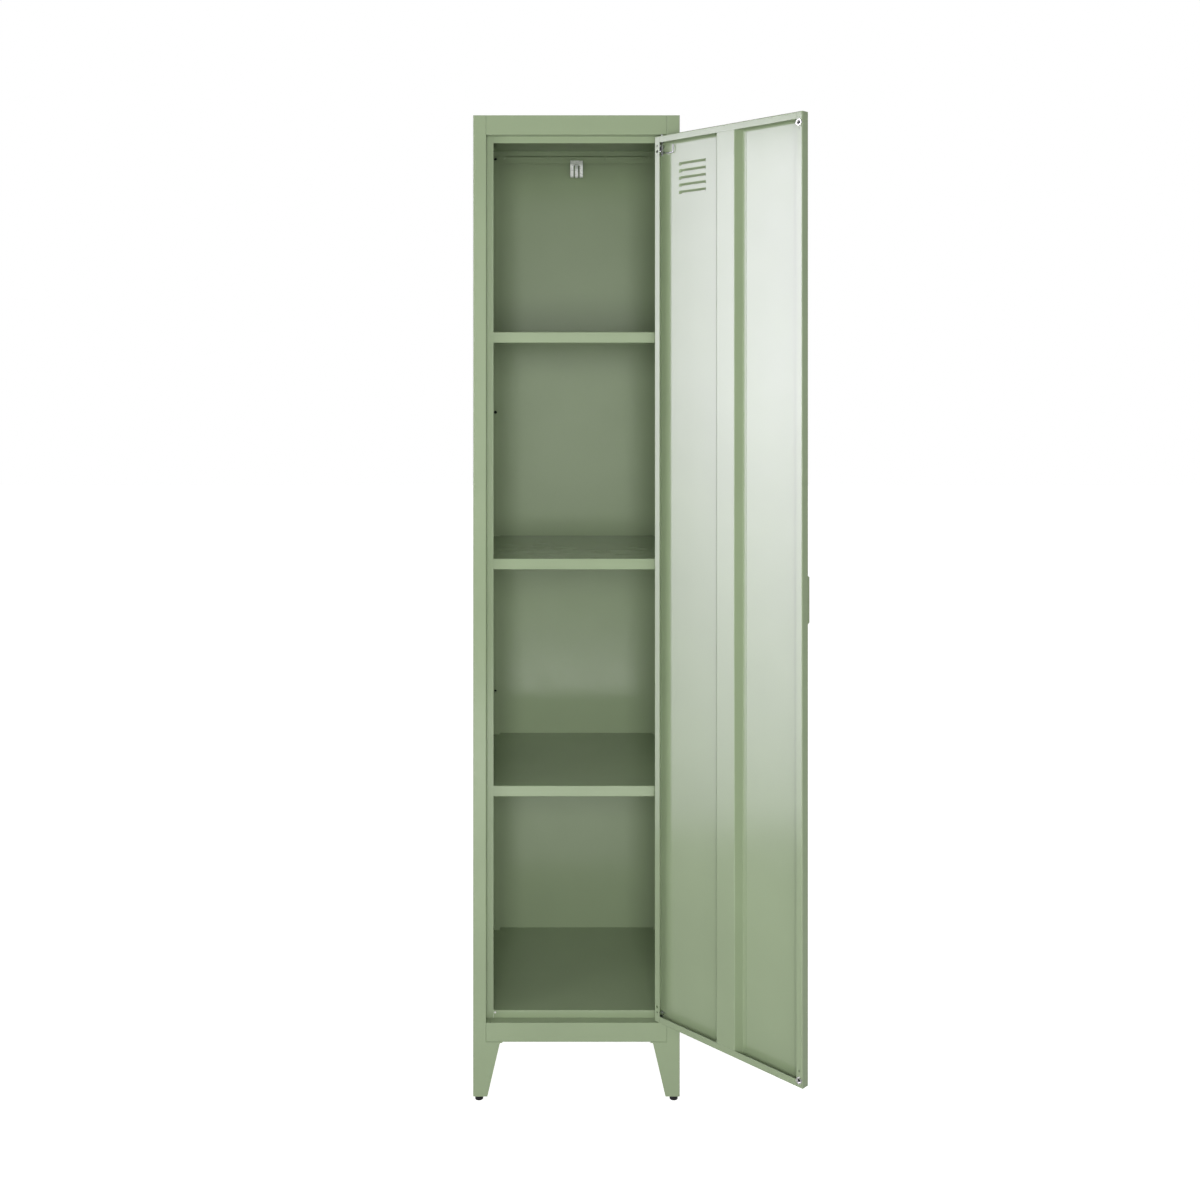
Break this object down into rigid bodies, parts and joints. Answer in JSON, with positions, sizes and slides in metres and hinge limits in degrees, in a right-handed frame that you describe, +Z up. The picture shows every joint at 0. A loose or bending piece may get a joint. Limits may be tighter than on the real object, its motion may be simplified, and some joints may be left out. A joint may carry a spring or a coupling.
{
  "type": "school locker",
  "caption": "Tall narrow folded-steel locker on tapered corner legs, with shelves, a coat hook and one hinged louvred door standing open.",
  "frame": {"origin": "on the floor, midway between the four feet, under the middle of the carcass", "axes": "+Z up; -Y out of the locker's front; +X to the right as seen from the front, where the door is hinged"},
  "size_m": [0.5814, 0.6249, 1.813],
  "materials": {
    "powder_coat": "satin powder coat, muted sage green",
    "black_plastic": "matt moulded",
    "zinc_steel": "bright zinc plated",
    "black_steel": "blackened steel",
    "bright_plating": "bright nickel plated",
    "nickel_magnet": "nickel plated magnet",
    "spring_steel": "drawn wire",
    "white_nylon": "natural nylon"
  },
  "bodies": {
    "carcass": {"back_panel": "powder_coat", "back_panel_rivets": "black_steel", "bottom_rail": "powder_coat", "coat_hook": "bright_plating", "corner_buffer": "white_nylon", "corner_plates": "powder_coat", "floor_panel": "powder_coat", "foot_nuts": "zinc_steel", "front_left_leg": "powder_coat", "front_right_leg": "powder_coat", "left_side_panel": "powder_coat", "leg_screws": "zinc_steel", "lower_shelf": "powder_coat", "lower_shelf_clips": "powder_coat", "middle_shelf": "powder_coat", "middle_shelf_clips": "powder_coat", "pivot_washer": "white_nylon", "rear_left_leg": "powder_coat", "rear_right_leg": "powder_coat", "right_side_panel": "powder_coat", "top_edge_screws": "powder_coat", "top_panel": "powder_coat", "top_rail": "powder_coat", "upper_shelf": "powder_coat", "upper_shelf_clips": "powder_coat"},
    "door": {"door_panel": "powder_coat", "door_stiffener": "powder_coat", "upper_hinge_bracket": "zinc_steel", "lower_hinge_bracket": "zinc_steel", "lower_hinge_pin": "zinc_steel", "upper_magnet": "nickel_magnet", "lower_magnet": "nickel_magnet", "magnet_rivets": "black_steel", "edge_pull": "powder_coat", "pull_rivets": "powder_coat", "pin_spring": "spring_steel"},
    "hinge_latch": {"upper_hinge_pin": "zinc_steel", "pin_lever": "zinc_steel"},
    "front_left_foot": {"front_left_foot_pad": "black_plastic", "front_left_foot_stud": "zinc_steel"},
    "front_right_foot": {"front_right_foot_pad": "black_plastic", "front_right_foot_stud": "zinc_steel"},
    "rear_left_foot": {"rear_left_foot_pad": "black_plastic", "rear_left_foot_stud": "zinc_steel"},
    "rear_right_foot": {"rear_right_foot_pad": "black_plastic", "rear_right_foot_stud": "zinc_steel"}
  },
  "joints": [
    {"name": "door_hinge", "type": "hinge", "parent": "carcass", "child": "door", "pos_m": [0.1576, -0.1914, 0.1487], "axis": [0, 0, 1], "range_deg": [-134.9, 0]},
    {"name": "hinge_pin_retract", "type": "slide", "parent": "door", "child": "hinge_latch", "axis": [0, 0, 1], "range_m": [-0.0036, 0], "stiffness_N_per_m": 400, "springref_m": 0.01, "deforming": ["pin_spring"]},
    {"name": "front_left_foot_screw", "type": "slide", "parent": "carcass", "child": "front_left_foot", "axis": [0, 0, 1], "range_m": [-0.012, 0]},
    {"name": "front_right_foot_screw", "type": "slide", "parent": "carcass", "child": "front_right_foot", "axis": [0, 0, 1], "range_m": [-0.012, 0]},
    {"name": "rear_left_foot_screw", "type": "slide", "parent": "carcass", "child": "rear_left_foot", "axis": [0, 0, 1], "range_m": [-0.012, 0]},
    {"name": "rear_right_foot_screw", "type": "slide", "parent": "carcass", "child": "rear_right_foot", "axis": [0, 0, 1], "range_m": [-0.012, 0]}
  ]
}
